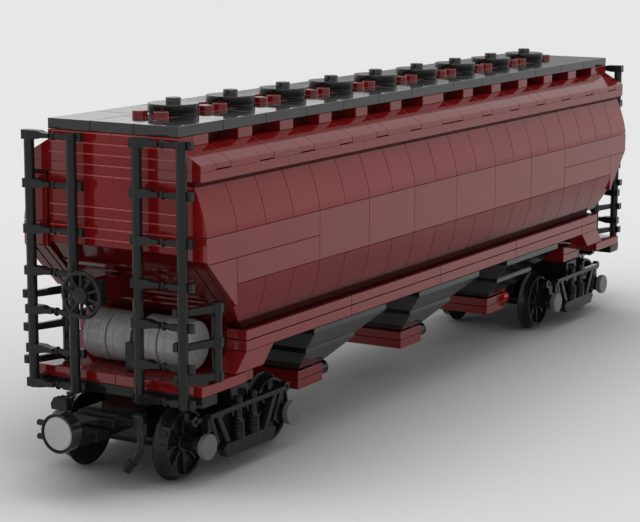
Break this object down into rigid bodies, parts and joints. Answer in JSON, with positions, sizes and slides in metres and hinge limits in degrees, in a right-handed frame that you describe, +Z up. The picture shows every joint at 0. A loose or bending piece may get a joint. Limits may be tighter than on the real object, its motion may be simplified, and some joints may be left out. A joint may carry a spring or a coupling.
{
  "type": "model hopper railway car",
  "caption": "Brick-built model covered hopper car: ribbed roof with round hatches, bulged sides, hopper bays with outlet gates, end ladders, and swivelling bogies with couplers.",
  "frame": {"origin": "below the middle of the car, at the height of the lowest points of the wheel flanges", "axes": "+X along the car towards its rear end, +Y towards its left side, +Z up; the end with the brake wheel faces -X"},
  "size_m": [0.3768, 0.068, 0.1141],
  "materials": {
    "dark_red": "glossy moulded plastic",
    "black": "glossy moulded plastic",
    "grey": "moulded plastic",
    "magnet": "smooth dull metal"
  },
  "bodies": {
    "car_body": {"roof_edge_left": "dark_red", "roof_edge_right": "dark_red", "upper_panel_left": "dark_red", "upper_panel_right": "dark_red", "side_band_left": "dark_red", "side_band_right": "dark_red", "lower_panel_left": "dark_red", "lower_panel_right": "dark_red", "side_sill_left": "dark_red", "side_sill_right": "dark_red", "body_core": "dark_red", "floor_plate": "dark_red", "end_wall_front": "dark_red", "end_wall_rear": "dark_red", "end_slope_front": "dark_red", "end_slope_rear": "dark_red", "outlet_gate_1": "dark_red", "outlet_gate_2": "dark_red", "outlet_gate_3": "dark_red", "end_platform_front": "dark_red", "end_platform_rear": "dark_red", "stud_strip": "dark_red", "roof_deck": "black", "hatch_1": "black", "hatch_2": "black", "hatch_3": "black", "hatch_4": "black", "hatch_5": "black", "hatch_6": "black", "hatch_7": "black", "hatch_8": "black", "hatch_9": "black", "hopper_bay_1": "black", "hopper_bay_2": "black", "hopper_bay_3": "black", "end_sill_front": "black", "end_sill_rear": "black", "ladder_front_left": "black", "ladder_front_right": "black", "ladder_rear_left": "black", "ladder_rear_right": "black", "brake_bracket": "black", "air_tank": "grey"},
    "brake_wheel": {"brake_wheel": "black"},
    "bogie_front": {"bogie_frame_front": "black", "side_frame_front_left": "black", "side_frame_front_right": "black", "brake_hose_front": "black"},
    "wheelset_front_outer": {"wheelset_front_outer": "black"},
    "wheelset_front_inner": {"wheelset_front_inner": "black"},
    "coupler_front": {"coupler_arm_front": "black", "coupler_magnet_front": "magnet"},
    "bogie_rear": {"bogie_frame_rear": "black", "side_frame_rear_left": "black", "side_frame_rear_right": "black", "brake_hose_rear": "black"},
    "wheelset_rear_outer": {"wheelset_rear_outer": "black"},
    "wheelset_rear_inner": {"wheelset_rear_inner": "black"},
    "coupler_rear": {"coupler_arm_rear": "black", "coupler_magnet_rear": "magnet"}
  },
  "joints": [
    {"name": "bogie_front_swivel", "type": "hinge", "parent": "car_body", "child": "bogie_front", "pos_m": [-0.128, 0, 0.0224], "axis": [0, 0, 1], "range_deg": [-24, 24]},
    {"name": "wheelset_front_outer_roll", "type": "hinge", "parent": "bogie_front", "child": "wheelset_front_outer", "pos_m": [-0.152, 0, 0.012], "axis": [0, 1, 0], "continuous": true},
    {"name": "wheelset_front_inner_roll", "type": "hinge", "parent": "bogie_front", "child": "wheelset_front_inner", "pos_m": [-0.104, 0, 0.012], "axis": [0, 1, 0], "continuous": true},
    {"name": "coupler_front_swing", "type": "hinge", "parent": "bogie_front", "child": "coupler_front", "pos_m": [-0.164, 0, 0.0189], "axis": [0, 0, 1], "range_deg": [-15, 15]},
    {"name": "bogie_rear_swivel", "type": "hinge", "parent": "car_body", "child": "bogie_rear", "pos_m": [0.128, 0, 0.0224], "axis": [0, 0, 1], "range_deg": [-24, 24]},
    {"name": "wheelset_rear_outer_roll", "type": "hinge", "parent": "bogie_rear", "child": "wheelset_rear_outer", "pos_m": [0.152, 0, 0.012], "axis": [0, 1, 0], "continuous": true},
    {"name": "wheelset_rear_inner_roll", "type": "hinge", "parent": "bogie_rear", "child": "wheelset_rear_inner", "pos_m": [0.104, 0, 0.012], "axis": [0, 1, 0], "continuous": true},
    {"name": "coupler_rear_swing", "type": "hinge", "parent": "bogie_rear", "child": "coupler_rear", "pos_m": [0.164, 0, 0.0189], "axis": [0, 0, 1], "range_deg": [-15, 15]},
    {"name": "brake_wheel_turn", "type": "hinge", "parent": "car_body", "child": "brake_wheel", "pos_m": [-0.1712, 0.0043, 0.0583], "axis": [1, 0, 0], "continuous": true}
  ]
}
